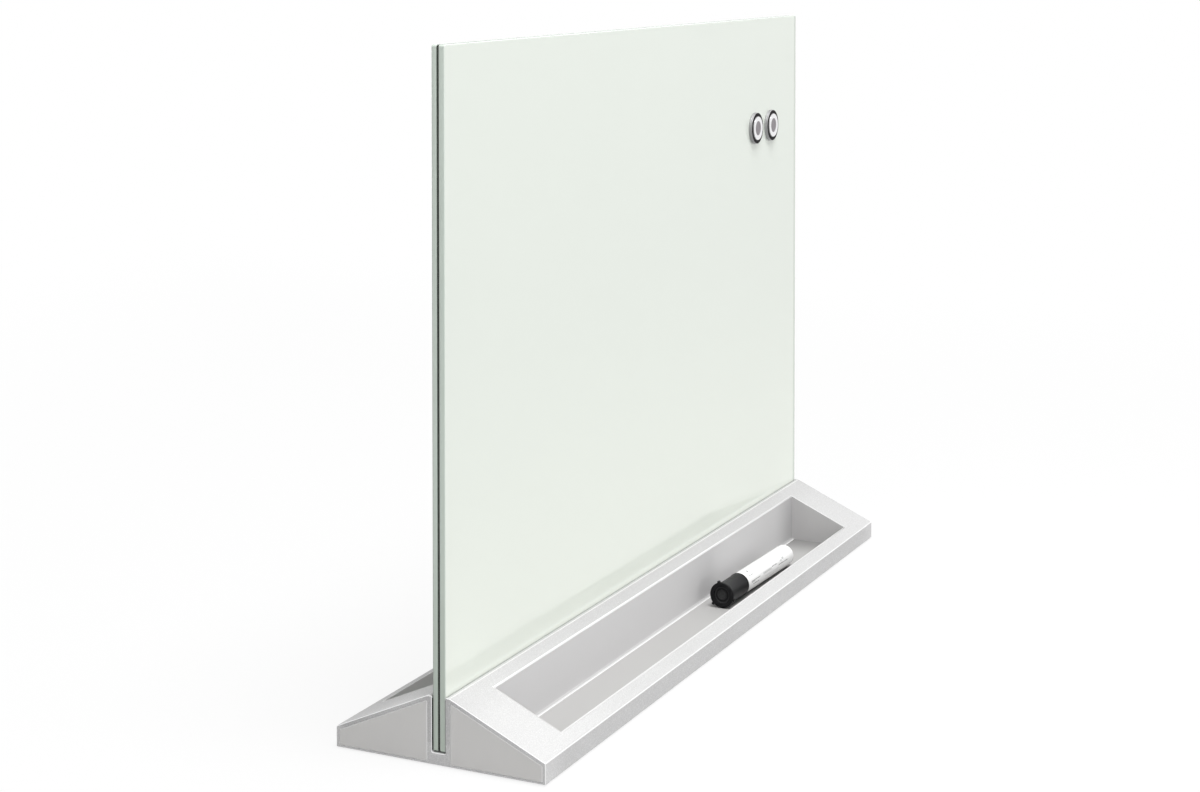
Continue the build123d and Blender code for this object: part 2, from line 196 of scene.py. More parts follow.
class Nodes:
    """Builds one node tree, a node at a time."""

    def __init__(self, tree: bpy.types.NodeTree) -> None:
        """Start from an empty tree.

        Args:
            tree: The tree of a material or world, which is emptied.
        """
        self.tree = tree
        tree.nodes.clear()

    def node(
        self,
        kind: str,
        settings: Optional[Mapping[str, Any]] = None,
        inputs: Optional[Mapping[Union[str, int], Any]] = None,
    ) -> bpy.types.Node:
        """Add a node of any type.

        Args:
            kind: The node's type.
            settings: Its properties, which are set first.
            inputs: The value or link of each socket, by name or number.

        Returns:
            The new node.
        """
        made = self.tree.nodes.new(kind)
        for name, value in (settings or {}).items():
            setattr(made, name, value)
        for name, value in (inputs or {}).items():
            source = value.socket if isinstance(value, Value) else value
            if isinstance(source, bpy.types.NodeSocket):
                self.tree.links.new(source, made.inputs[name])
            else:
                made.inputs[name].default_value = source
        return made

    def maths(self, operation: str, *terms: Number) -> Value:
        """Join numbers with one Math node.

        Args:
            operation: The Math node's operation.
            terms: Its inputs, in order.

        Returns:
            The result.
        """
        made = self.node("ShaderNodeMath", {"operation": operation}, dict(enumerate(terms)))
        return Value(self, made.outputs["Value"])

    def span(self, x: Value, y: Value) -> Value:
        """The length of a run that goes two ways at right angles.

        Args:
            x: How far it goes one way.
            y: How far it goes the other way.

        Returns:
            Its length.
        """
        return self.maths("SQRT", x * x + y * y)

    def colours(self, factor: Number, first: Any, second: Any) -> bpy.types.NodeSocket:
        """Mix two colours.

        Args:
            factor: How much of the second shows.
            first: A colour, or a socket that gives one.
            second: The same.

        Returns:
            The mixed colour's socket.
        """
        made = self.node("ShaderNodeMix", {"data_type": "RGBA"}, {0: factor, 6: first, 7: second})
        return made.outputs[2]

    def shaders(
        self, factor: Number, first: bpy.types.Node, second: bpy.types.Node
    ) -> bpy.types.Node:
        """Mix two shaders.

        Args:
            factor: How much of the second shows.
            first: The node that gives the first.
            second: The node that gives the second.

        Returns:
            The node that mixes them.
        """
        sockets = {0: factor, 1: first.outputs[0], 2: second.outputs[0]}
        return self.node("ShaderNodeMixShader", inputs=sockets)

    def place(self) -> tuple[Value, Value, Value]:
        """The point's own X, Y and Z on the piece, in millimetres."""
        source = self.node("ShaderNodeTexCoord").outputs["Object"]
        axes = self.node("ShaderNodeSeparateXYZ", inputs={"Vector": source})
        x, y, z = (Value(self, axes.outputs[name]) / MM for name in "XYZ")
        return x, y, z

    def noise(self, cloud: Cloud) -> Value:
        """Cloudy noise over the piece.

        Args:
            cloud: Its sizes.

        Returns:
            The noise, from 0 to 1.
        """
        source = self.node("ShaderNodeTexCoord").outputs["Object"]
        scale = tuple(1.0 / (cloud.size * MM * factor) for factor in cloud.stretch)
        scaled = self.node("ShaderNodeVectorMath", {"operation": "MULTIPLY"}, {0: source, 1: scale})
        made = self.node(
            "ShaderNodeTexNoise",
            inputs={"Vector": scaled.outputs["Vector"], "Scale": 1.0, "Detail": cloud.detail},
        )
        noise = Value(self, made.outputs[0])
        return noise.rise(*cloud.span) if cloud.span else noise

    def shelter(self, reach: float) -> Value:
        """How closely the point is hemmed in.

        Args:
            reach: How far off a surface still hems it in, in millimetres.

        Returns:
            The mask, from 0 in the open to 1 in a tight corner.
        """
        made = self.node("ShaderNodeAmbientOcclusion", {"samples": 8}, {"Distance": reach * MM})
        return 1.0 - Value(self, made.outputs["AO"])

    def bump(self, height: Value, depth: float, strength: float = 1.0) -> bpy.types.NodeSocket:
        """A bumped normal.

        Args:
            height: The height map, from 0 to 1.
            depth: The depth of the map in millimetres.
            strength: How much of it shows.

        Returns:
            The normal's socket.
        """
        made = self.node(
            "ShaderNodeBump",
            inputs={"Height": height, "Distance": depth * MM, "Strength": strength},
        )
        return made.outputs["Normal"]


class Shader(Nodes):
    """Builds one material around a Principled surface."""

    def __init__(self, name: str) -> None:
        """Start an empty material.

        Args:
            name: The material's name.
        """
        self.material = bpy.data.materials.new(name)
        self.material.use_nodes = True
        super().__init__(self.material.node_tree)

    def surface(self, **inputs: Any) -> Material:
        """End the material with a Principled surface.

        Args:
            inputs: The surface's sockets, with _ for a space in their names.

        Returns:
            The finished material.
        """
        named = {name.replace("_", " "): value for name, value in inputs.items()}
        made = self.node("ShaderNodeBsdfPrincipled", inputs=named)
        self.node("ShaderNodeOutputMaterial", inputs={"Surface": made.outputs["BSDF"]})
        return self.material


# ------------------------------------------------------------------ finishes
def toned(colour: Colour, factor: float) -> Colour:
    """Darken or brighten a colour.

    Args:
        colour: The colour.
        factor: What it is multiplied by.

    Returns:
        The new colour, no brighter than white.
    """
    red, green, blue = (min(1.0, factor * part) for part in colour[:3])
    return red, green, blue, 1.0


@dataclass(frozen=True)
class Line:
    """A thin line beside an edge: its inset, half its width and the width of its soft borders."""

    inset: float
    half: float
    soft: float

    def at(self, place: Value, edge: float = 0.0) -> Value:
        """The line's mask.

        Args:
            place: The point's place across the edge.
            edge: The edge's place.

        Returns:
            The mask, from 0 to 1.
        """
        return place.band(edge - self.inset, self.half, self.soft)


@dataclass(frozen=True)
class Fade:
    """A smooth loss of colour, from none at its start to the whole loss at its end."""

    start: float
    end: float
    loss: float

    def over(self, place: Value) -> Value:
        """How much is lost at a place.

        Args:
            place: The place.

        Returns:
            The share of the colour that is lost.
        """
        return self.loss * place.rise(self.start, self.end)


@dataclass(frozen=True)
class Grained:
    """A plain finish with paler, rougher patches of one noise under a grain of another.

    Attributes:
        share: How much of the paler tone the patches show.
        spread: How much rougher the patches are.
    """

    name: str
    colour: Colour
    pale: Colour
    patches: Cloud
    grain: Cloud
    share: float
    roughness: float
    spread: float
    depth: float
    strength: float
    metallic: float = 0.0
    sheen: float = 0.0

    def material(self) -> Material:
        """Make the finish."""
        shader = Shader(self.name)
        patches = shader.noise(self.patches)
        rough = self.roughness + self.spread * patches if self.spread else self.roughness
        return shader.surface(
            Base_Color=shader.colours(self.share * patches, self.colour, self.pale),
            Roughness=rough,
            Metallic=self.metallic,
            Sheen_Weight=self.sheen,
            Normal=shader.bump(shader.noise(self.grain), self.depth, self.strength),
        )


RUBBER = Grained(
    "black_rubber",
    (0.022, 0.022, 0.023, 1.0),
    (0.07, 0.07, 0.07, 1.0),
    Cloud(6.0, 4.0, span=(0.45, 0.8)),
    Cloud(0.3),
    share=0.5,
    roughness=0.78,
    spread=0.15,
    depth=0.03,
    strength=0.6,
)
NICKEL = Grained(
    "plated_nickel",
    (0.60, 0.59, 0.56, 1.0),
    (0.72, 0.71, 0.69, 1.0),
    Cloud(4.0, 3.0),
    Cloud(0.4),
    share=1.0,
    roughness=0.24,
    spread=0.14,
    depth=0.01,
    strength=0.4,
    metallic=1.0,
)
FELT = Grained(
    "inked_felt",
    (0.008, 0.008, 0.009, 1.0),
    (0.03, 0.03, 0.032, 1.0),
    Cloud(0.25, 3.0, (1, 1, 14), (0.4, 0.75)),
    Cloud(0.25, 3.0, (1, 1, 14)),
    share=1.0,
    roughness=0.85,
    spread=0.0,
    depth=0.12,
    strength=0.8,
    sheen=0.3,
)
FIBRE = replace(
    FELT,
    name="inked_reservoir_fibre",
    colour=(0.03, 0.03, 0.034, 1.0),
    pale=(0.11, 0.11, 0.12, 1.0),
)


@dataclass(frozen=True)
class CoatedAluminium:
    """Fine silver powder coat on the base, with painted highlights on its arrises and soft painted
    shade.

    Attributes:
        beside: Painted shade that deepens towards the board.
        along: Painted shade that deepens away from both ends.
        rightward: Painted shade that deepens from the left end on.
        rearward: Painted shade that deepens down the rear slope.
        lips: Painted shade on the upright lips, deepening away from both ends.
        rim_highlight_level: How bright the painted highlight on the windows' arrises is at the
            left.
    """

    base: "BaseAssembly"
    colour: Colour = (0.588, 0.584, 0.586, 1.0)
    flake: Colour = (0.745, 0.745, 0.747, 1.0)
    # The colour of the painted shade in the gap beside the board's foot.
    shadow: Colour = (0.34, 0.35, 0.34, 1.0)
    # The colour of the painted highlights on the arrises.
    arris: Colour = (0.95, 0.95, 0.955, 1.0)
    sheen: float = 0.15
    flakes: Cloud = Cloud(0.45, 1.0)
    clouds: Cloud = Cloud(60.0, 3.0, span=(0.3, 0.7))
    # Painted shade over the coat.
    beside: Sequence[Fade] = (Fade(34.0, 8.0, 0.08), Fade(70.0, 30.0, 0.03))
    along: Fade = Fade(285.5, 190.0, 0.05)
    rightward: Fade = Fade(-295.5, -60.0, 0.09)
    rearward: Fade = Fade(20.0, 66.0, 0.18)
    lips: Fade = Fade(295.4, 265.5, 0.11)
    # Painted highlight lines along the windows' rims, the base's ends, the lips and the ridges; the
    # rims' highlight dims to the right.
    rim_highlight_line: Line = Line(-0.1, 0.12, 0.12)
    rim_highlight_level: float = 0.8
    rim_highlight_fade: Fade = Fade(60.0, 200.0, 0.45)
    end_highlight_line: Line = Line(0.2, 0.15, 0.05)
    lip_highlight_line: Line = Line(0.1, 0.2, 0.2)
    ridge_highlight_line: Line = Line(0.2, 0.3, 0.2)

    def material(self) -> Material:
        """Make the finish."""
        shader = Shader("silver_powder_coat")
        x, y, z = shader.place()
        flakes = shader.noise(self.flakes)
        coat = shader.colours(flakes.rise(0.45, 0.7), self.colour, self.flake)
        coat = shader.colours(shader.noise(self.clouds) * 0.12, coat, self.flake)
        # painted shade over the slopes and lips
        coat = shader.colours(self.shade(x, y, z), coat, BLACK)
        crest = z.rise(self.base.ridge_z - 0.9, self.base.ridge_z - 0.5)
        # painted shade in the gap between the board and the ridges' tops
        painted_slot_shade = abs(y).rise(self.base.slot_y + 1.1, self.base.slot_y + 0.7) & crest
        coat = shader.colours(painted_slot_shade, coat, self.shadow)
        return shader.surface(
            # painted highlights along the arrises
            Base_Color=shader.colours(self.arrises(x, y, z, crest), coat, self.arris),
            Metallic=0.06,
            Roughness=0.42 + 0.12 * shader.noise(Cloud(3.0)),
            Specular_IOR_Level=self.sheen,
            Normal=shader.bump(flakes, 0.02, 0.6),
        )

    def shade(self, x: Value, y: Value, z: Value) -> Value:
        """How much the coat is shaded.

        Args:
            x: The point's place along the base.
            y: Its place across the base.
            z: Its height.

        Returns:
            The share of the colour that is lost.
        """
        slope = self.along.over(abs(x)) + self.rightward.over(x) + self.rearward.over(y)
        for fade in self.beside:
            slope = slope + fade.over(abs(y))
        top = z.rise(self.base.lip_z + 0.2, self.base.lip_z + 0.8)
        return top * slope + (1.0 - top) * self.lips.over(abs(x))

    def arrises(self, x: Value, y: Value, z: Value, crest: Value) -> Value:
        """Where the coat takes painted highlights along its arrises.

        Args:
            x: The point's place along the base.
            y: Its place across the base.
            z: Its height.
            crest: A mask of the ridges' tops.

        Returns:
            The mask, from 0 to 1.
        """
        base = self.base
        beyond = abs(x) - base.window_length / 2
        across = abs(abs(y) - base.window_middle) - base.window_width / 2
        # painted highlight along the windows' rims, brighter at the left end
        rim = self.rim_highlight_line.at(beyond | across) & z.rise(base.lip_z, base.lip_z + 1.0)
        rim = rim * (self.rim_highlight_level - self.rim_highlight_fade.over(x))
        lip = abs(y).rise(base.depth / 2 - 0.9, base.depth / 2 - 0.7)
        lip = lip & self.lip_highlight_line.at(z, base.lip_z)
        ridge_highlight = self.ridge_highlight_line.at(abs(y), base.ridge_y) & crest
        return rim | self.end_highlight_line.at(abs(x), base.length / 2) | 0.6 * lip | 0.4 * ridge_highlight


@dataclass(frozen=True)
class MouldedPlastic:
    """Moulded plastic with a fine spark-eroded grain and, where set, painted shade in corners and
    along the base, and painted highlights on the rails' feet and the caps' arris.

    Attributes:
        toes: How far the painted highlights on the feet of the rails lie from the middle of the
            base.
        toe_top: The height of those feet.
        arris_highlight_x: Where the painted highlight on the end caps' arris lies along the base.
        crevice: How far off a surface still brings painted shade into a corner.
        fades: Painted shade that deepens along the base.
    """

    name: str
    colour: Colour
    gloss: float = 0.45
    toes: Sequence[float] = ()
    toe_top: float = 0.0
    arris_highlight_x: float = 0.0
    crevice: float = 0.0
    fades: Sequence[Fade] = ()
    sheen: float = 0.15
    grain: Cloud = Cloud(0.35)
    clouds: Cloud = Cloud(45.0, 2.0, (3, 1, 1), (0.35, 0.7))
    # Painted highlight lines on the rails' feet and the caps' arris, and a painted shadow just
    # above the feet.
    toe_highlight_line: Line = Line(0.0, 0.3, 0.15)
    toe_shadow: Line = Line(-0.55, 0.2, 0.15)
    arris_highlight_line: Line = Line(0.0, 0.2, 0.05)

    def material(self) -> Material:
        """Make the finish."""
        shader = Shader(self.name)
        x, y, z = shader.place()
        grain = shader.noise(self.grain)
        pale = toned(self.colour, 1.07)
        colour = shader.colours(grain, self.colour, pale)
        colour = shader.colours(0.35 * shader.noise(self.clouds), colour, pale)
        if self.crevice:
            # painted shade in tight corners, such as under the marker
            tight = shader.shelter(self.crevice).rise(0.5, 0.95)
            colour = shader.colours(tight, colour, toned(self.colour, 0.35))
        if self.fades:
            # painted shade along the base
            lost = sum((fade.over(x) for fade in self.fades), 0.0)
            colour = shader.colours(lost, colour, BLACK)
        # painted highlights along the feet of the rails, with a painted shadow just above them
        if self.toes:
            lines: Number = 0.0
            for toe in self.toes:
                lines = self.toe_highlight_line.at(abs(y), toe) | lines
            lines = lines & z.rise(self.toe_top + 0.12, self.toe_top - 0.05)
            colour = shader.colours(0.22 * self.toe_shadow.at(z, self.toe_top), colour, BLACK)
            colour = shader.colours(lines, colour, PAINTED_HIGHLIGHT)
        # a painted highlight along the end caps' arris
        if self.arris_highlight_x:
            colour = shader.colours(self.arris_highlight_line.at(abs(x), self.arris_highlight_x), colour, PAINTED_HIGHLIGHT)
        return shader.surface(
            Base_Color=colour,
            Roughness=1.0 - self.gloss + 0.1 * grain,
            Specular_IOR_Level=self.sheen,
            Normal=shader.bump(grain, 0.015, 0.5),
        )


@dataclass(frozen=True)
class BackedGlass:
    """The writing face: polished low-iron glass over a white coat, with painted light paler towards
    its foot and a darker band painted at one end for the edge seen through the glass.

    Attributes:
        far_side: The end that takes the painted band, by the sign of X.
        painted_tone_reach: How far up the painted light on the paler foot reaches, in millimetres.
        edge_band_reach: The width of the painted band at that end.
    """

    half_length: float
    far_side: int
    colour: Colour = (0.775, 0.818, 0.758, 1.0)
    deep: Colour = (0.76, 0.805, 0.745, 1.0)
    # The colour of the painted light on the paler foot.
    foot: Colour = (0.83, 0.872, 0.798, 1.0)
    # The colour of the band painted at the far end, where the edge is seen through the glass.
    painted_edge_band: Colour = (0.63, 0.68, 0.62, 1.0)
    painted_tone_reach: float = 260.0
    edge_band_reach: float = 5.0
    clouds: Cloud = Cloud(240.0, 2.0, (1, 1, 2), (0.3, 0.7))
    haze: Cloud = Cloud(35.0, 3.0, (3, 1, 1), (0.5, 0.8))
    waves: Cloud = Cloud(110.0, 1.0)

    def material(self) -> Material:
        """Make the finish."""
        shader = Shader("white_backed_glass")
        x, _, z = shader.place()
        colour = shader.colours(0.5 * shader.noise(self.clouds), self.colour, self.deep)
        # painted light that makes the face paler towards its foot
        colour = shader.colours(z.rise(self.painted_tone_reach, 0.0), colour, self.foot)
        # a darker band painted at the far end, where the edge is seen through the glass
        border = self.half_length - self.edge_band_reach
        painted_edge_band = (self.far_side * x).rise(border, border + 1.5)
        return shader.surface(
            Base_Color=shader.colours(painted_edge_band, colour, self.painted_edge_band),
            Roughness=0.05 + 0.01 * shader.noise(self.haze),
            IOR=1.5,
            Normal=shader.bump(shader.noise(self.waves), 0.005, 0.1),
        )


@dataclass(frozen=True)
class GlassEdge:
    """The ground and polished edge of a pane, with painted shade that makes it darker and greener
    towards its foot.

    Attributes:
        painted_tone_reach: How far up the painted shade reaches, in millimetres.
    """

    name: str = "polished_glass_edge"
    colour: Colour = (0.72, 0.80, 0.73, 1.0)
    # The darker colour, taken by random streaks and by the painted shade towards the foot.
    deep: Colour = (0.46, 0.53, 0.46, 1.0)
    painted_tone_reach: float = 148.05
    roughness: float = 0.16
    streaks: Cloud = Cloud(1.4, 2.0, (1, 1, 24))

    def material(self) -> Material:
        """Make the finish."""
        shader = Shader(self.name)
        streaks = shader.noise(self.streaks)
        # painted shade towards the foot of the edge
        depth = shader.place()[2].rise(self.painted_tone_reach, 0.0)
        tint = 0.55 * depth + 0.3 * streaks
        return shader.surface(
            Base_Color=shader.colours(tint, self.colour, self.deep),
            Roughness=self.roughness + 0.08 * streaks,
            IOR=1.5,
            Normal=shader.bump(streaks, 0.01, 0.3),
        )


# Arris finishes: a painted highlight for the front pane's arrises, and painted shade for the rear
# pane's outer and inner arrises; both panes are the same glass.
ARRISES = tuple(
    GlassEdge(f"{name}_glass_arris", colour, deep, painted_tone_reach)
    for name, colour, deep, painted_tone_reach in (
        ("bright", (0.74, 0.80, 0.74, 1.0), (0.70, 0.77, 0.70, 1.0), 0.105),
        ("ground", (0.34, 0.38, 0.34, 1.0), (0.30, 0.35, 0.31, 1.0), 0.1925),
        ("shaded_inner", (0.05, 0.06, 0.05, 1.0), (0.04, 0.05, 0.04, 1.0), 0.21),
    )
)


@dataclass(frozen=True)
class RolledSheet:
    """Thin sheet or film with faint rolling lines, and its cut edges near black.

    Attributes:
        core: Half its length, and the heights of its lower and upper edges.
    """

    name: str
    colour: Colour
    pale: Colour
    metallic: float
    roughness: float
    core: tuple[float, float, float]
    cut_edge_colour: Colour = (0.012, 0.014, 0.012, 1.0)
    lines: Cloud = Cloud(1.2, 3.0, (60, 1, 1))

    def material(self) -> Material:
        """Make the finish."""
        shader = Shader(self.name)
        x, _, z = shader.place()
        half, low, high = self.core
        lines = shader.noise(self.lines)
        edge = abs(x).rise(half - 0.4, half - 0.2)
        edge = edge | z.rise(low + 0.4, low + 0.2) | z.rise(high - 0.4, high - 0.2)
        rolled = shader.colours(lines, self.colour, self.pale)
        return shader.surface(
            Base_Color=shader.colours(edge, rolled, self.cut_edge_colour),
            Metallic=self.metallic * (1.0 - edge),
            Roughness=self.roughness + 0.15 * lines + 0.3 * edge,
            Normal=shader.bump(lines, 0.01, 0.4),
        )


@dataclass(frozen=True)
class Chrome:
    """Bright chrome on a turned magnet, with painted shade as a black ring in its step, and a satin
    dish.
    """

    knob: "BoardMagnet"
    colour: Colour = (0.88, 0.88, 0.89, 1.0)
    black: Colour = (0.010, 0.009, 0.010, 1.0)
    dish: Colour = (0.66, 0.62, 0.65, 1.0)

    def material(self) -> Material:
        """Make the finish."""
        shader = Shader("turned_chrome")
        x, y, z = shader.place()
        radius = shader.span(x, y)
        knob = self.knob
        step_z, floor = knob.height - knob.crown_height, knob.height - knob.dish_depth
        middle = (knob.step_radius + knob.crown_radius) / 2
        # painted shade: a black ring in the step below the crown
        ring = radius.band(middle, knob.step_radius - middle - 0.2, 0.1)
        ring = ring & z.rise(step_z - 0.2, step_z - 0.1)
        dish = radius.rise(knob.dish_radius + 0.15, knob.dish_radius - 0.05)
        dish = dish & z.rise(floor - 0.3, floor - 0.2)
        sides = z.rise(knob.height - 0.1, knob.height - 0.25)
        turned = shader.maths("SINE", radius * 42.0) * 0.5 + 0.5
        smears = shader.noise(Cloud(5.0, 3.0))
        colour = shader.colours(dish, self.colour, self.dish)
        colour = shader.colours(0.5 * sides, colour, self.black)
        colour = shader.colours(ring, colour, self.black)
        return shader.surface(
            Base_Color=colour,
            Metallic=1.0 - ring,
            Roughness=0.05 + 0.05 * smears + 0.5 * sides,
            Specular_IOR_Level=0.1,
            Normal=shader.bump(turned * dish, 0.01, 0.5),
        )


@dataclass(frozen=True)
class PrintMark:
    """One printed mark: a bar or a dot, by its middle's place along and around the barrel.

    Attributes:
        dashes: The length of its dashes, or 0 where it is whole.
        ink: How dark it is, where 1 is the ink's own colour.
    """

    along: float
    around: float
    half_along: float
    half_around: float
    dashes: float = 0.0
    ink: float = 1.0
    round: bool = False


@dataclass(frozen=True)
class PrintedBarrel:
    """Glossy white barrel with plain printed marks and no words."""

    radius: float
    marks: Sequence[PrintMark]
    colour: Colour = (0.90, 0.90, 0.90, 1.0)
    pale: Colour = (0.93, 0.93, 0.93, 1.0)
    ink: Colour = (0.035, 0.035, 0.038, 1.0)

    def material(self) -> Material:
        """Make the finish."""
        shader = Shader("printed_white_barrel")
        x, y, z = shader.place()
        around = shader.maths("ARCTAN2", y, x) * self.radius
        print_mask: Number = 0.0
        for mark in self.marks:
            u = abs(z - mark.along)
            v = abs(around - mark.around)
            if mark.round:
                shape = shader.span(u, v).rise(mark.half_along + 0.1, mark.half_along)
            else:
                shape = u.rise(mark.half_along + 0.08, mark.half_along)
                shape = shape & v.rise(mark.half_around + 0.06, mark.half_around)
            if mark.dashes:
                rate = 2 * math.pi / mark.dashes
                wave = shader.maths("SINE", z * rate)
                other = shader.maths("SINE", z * (rate / 0.37) + around)
                shape = shape * (wave + 0.8 * other).rise(-0.6, -0.1)
            print_mask = mark.ink * shape | print_mask
        cloud = shader.noise(Cloud(14.0, 2.0))
        coat = shader.colours(cloud, self.colour, self.pale)
        return shader.surface(
            Base_Color=shader.colours(print_mask, coat, self.ink),
            Roughness=0.16 + 0.06 * cloud + 0.12 * print_mask,
            IOR=1.5,
            Normal=shader.bump(shader.noise(Cloud(2.5, 2.0)), 0.01, 0.25),
        )


@dataclass(frozen=True)
class SatinBlack:
    """Satin black plastic that has been handled, with faint lengthwise drawing lines.

    Attributes:
        dish: The radius and depth of a frosted dish, and the radius and half the width of the
            groove in it, if it has one.
    """

    name: str = "satin_black_plastic"
    colour: Colour = (0.007, 0.007, 0.008, 1.0)
    rubbed: Colour = (0.022, 0.022, 0.023, 1.0)
    roughness: float = 0.3
    dish: Sequence[float] = ()
    frosted: Colour = (0.036, 0.036, 0.037, 1.0)

    def material(self) -> Material:
        """Make the finish."""
        shader = Shader(self.name)
        lines = shader.noise(Cloud(0.7, 2.0, (1, 1, 30)))
        rubs = shader.noise(Cloud(7.0, 4.0)).rise(0.5, 0.85)
        colour = shader.colours(0.6 * rubs, self.colour, self.rubbed)
        if self.dish:
            radius, depth, groove, groove_half = self.dish
            x, y, z = shader.place()
            across = shader.span(x, y)
            dish = across.rise(radius + 0.2, radius) & z.rise(depth + 0.3, depth + 0.2)
            dish = dish * (1.0 - across.band(groove, groove_half, 0.2))
            colour = shader.colours(dish, colour, self.frosted)
        return shader.surface(
            Base_Color=colour,
            Specular_IOR_Level=0.15,
            Roughness=self.roughness + 0.1 * lines + 0.12 * rubs,
            Normal=shader.bump(lines, 0.02, 0.35),
        )


# ------------------------------------------------------------------ forms
def rounded_line(points: Sequence[Point], radius: float, steps: int = 3) -> list[Point]:
    """Round the inner corners of an open line of points.

    Args:
        points: The line's corners.
        radius: How far each rounding reaches along its two runs, at most.
        steps: How many points each rounding has, less one.

    Returns:
        The rounded line.
    """
    line = [points[0]]
    for before, corner, after in zip(points, points[1:], points[2:]):
        here = Vector(corner)
        back, on = Vector(before) - here, Vector(after) - here
        reach = min(radius, 0.45 * back.length, 0.45 * on.length)
        start, end = here + back.normalized() * reach, here + on.normalized() * reach
        for step in range(steps + 1):
            t = step / steps
            spot = start * (1 - t) ** 2 + here * 2 * t * (1 - t) + end * t**2
            line.append((spot.x, spot.y))
    line.append(points[-1])
    return line


def arc(middle: Point, radius: float, start: float, end: float, steps: int) -> list[Point]:
    """Points on an arc.

    Args:
        middle: The arc's centre.
        radius: Its radius.
        start: Its first angle in degrees.
        end: Its last angle in degrees.
        steps: How many runs it has.

    Returns:
        The points, with both ends.
    """
    angles = [math.radians(start + (end - start) * step / steps) for step in range(steps + 1)]
    return [(middle[0] + radius * math.cos(a), middle[1] + radius * math.sin(a)) for a in angles]


def keep(work: BMesh, mesh: Mesh, angle: float = 32.0) -> Mesh:
    """Write worked faces to a mesh and shade it smooth.

    Args:
        work: The faces, which are freed.
        mesh: The mesh that takes them.
        angle: The angle in degrees above which an edge stays sharp.

    Returns:
        The mesh.
    """
    work.to_mesh(mesh)
    work.free()
    mesh.polygons.foreach_set("use_smooth", [True] * len(mesh.polygons))
    mesh.set_sharp_from_angle(angle=math.radians(angle))
    return mesh


def bridge(work: BMesh, first: Sequence[Any], second: Sequence[Any], number: int = 0) -> None:
    """Join two rings of points with faces, where a ring may be a single point.

    Args:
        work: The mesh that takes the faces.
        first: One ring.
        second: The next ring.
        number: The faces' material number.
    """
    count = max(len(first), len(second))
    for step in range(count):
        after = (step + 1) % count
        near = [first[index % len(first)] for index in (step, after)]
        far = [second[index % len(second)] for index in (after, step)]
        corners = list(dict.fromkeys(near + far))
        if len(corners) > 2:
            work.faces.new(corners).material_index = number


def lathe(name: str, outline: Sequence[Point], segments: int = 96) -> Mesh:
    """Turn an outline about the local Z axis.

    Args:
        name: The mesh's name.
        outline: Points (distance along the axis, radius) in millimetres, in order.
        segments: How many steps the turn has.

    Returns:
        The turned mesh.
    """
    work = bmesh.new()
    rings = []
    for along, radius in outline:
        if radius < 1e-6:
            rings.append([work.verts.new((0, 0, along * MM))])
            continue
        spots = arc((0.0, 0.0), radius * MM, 0.0, 360.0, segments)[:-1]
        rings.append([work.verts.new((x, y, along * MM)) for x, y in spots])
    for first, second in zip(rings, rings[1:]):
        bridge(work, first, second)
    bmesh.ops.recalc_face_normals(work, faces=work.faces)
    return keep(work, bpy.data.meshes.new(name))


def rounded_rectangle(length: float, height: float, radius: float, steps: int = 5) -> list[Point]:
    """Corners of a rounded rectangle that stands on its middle.

    Args:
        length: Its length.
        height: Its height.
        radius: Its corner radius.
        steps: How many runs each corner has.

    Returns:
        Its points, anticlockwise.
    """
    right, top = length / 2 - radius, height - radius
    middles = ((right, radius), (right, top), (-right, top), (-right, radius))
    return [
        spot
        for turn, middle in enumerate(middles)
        for spot in arc(middle, radius, 90 * turn - 90, 90 * turn, steps)
    ]


def stand(spot: Sequence[float], *axes: Vector) -> Matrix:
    """Where a piece stands.

    Args:
        spot: The place of its own origin, in millimetres.
        axes: The ways that its X, Y and Z point.

    Returns:
        The matrix.
    """
    place = Matrix.Translation([value * MM for value in spot])
    return place @ Matrix(axes).transposed().to_4x4()


# ------------------------------------------------------------------ sub-assemblies
class SubAssembly:
    """What each sub-assembly does with its pieces."""

    body: str = ""

    def fit(
        self,
        name: str,
        mesh: Mesh,
        matrix: Matrix,
        materials: Sequence[Material],
        slot: str,
        node: str,
    ) -> None:
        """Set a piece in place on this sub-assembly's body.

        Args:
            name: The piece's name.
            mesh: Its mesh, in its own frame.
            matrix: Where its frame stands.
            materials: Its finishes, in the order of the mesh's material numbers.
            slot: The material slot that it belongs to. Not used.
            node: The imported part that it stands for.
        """
        for material in materials:
            mesh.materials.append(material)
        piece = bpy.data.objects.new(name, mesh)
        bpy.context.scene.collection.objects.link(piece)
        piece.matrix_world = matrix
        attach(piece, self.body)
        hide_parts(node)
        LOG.info("%s: %d faces, on %s, for %s", name, len(mesh.polygons), self.body, node)

    def dress(self, material: Material, *nodes: str) -> None:
        """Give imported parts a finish.

        Args:
            material: The finish.
            nodes: The parts' names.
        """
        for name in nodes:
            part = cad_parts[name]
            if not part.material_slots:
                part.data.materials.append(material)
            for place in part.material_slots:
                place.material = material
            LOG.info("%s: dressed in %s", name, material.name)


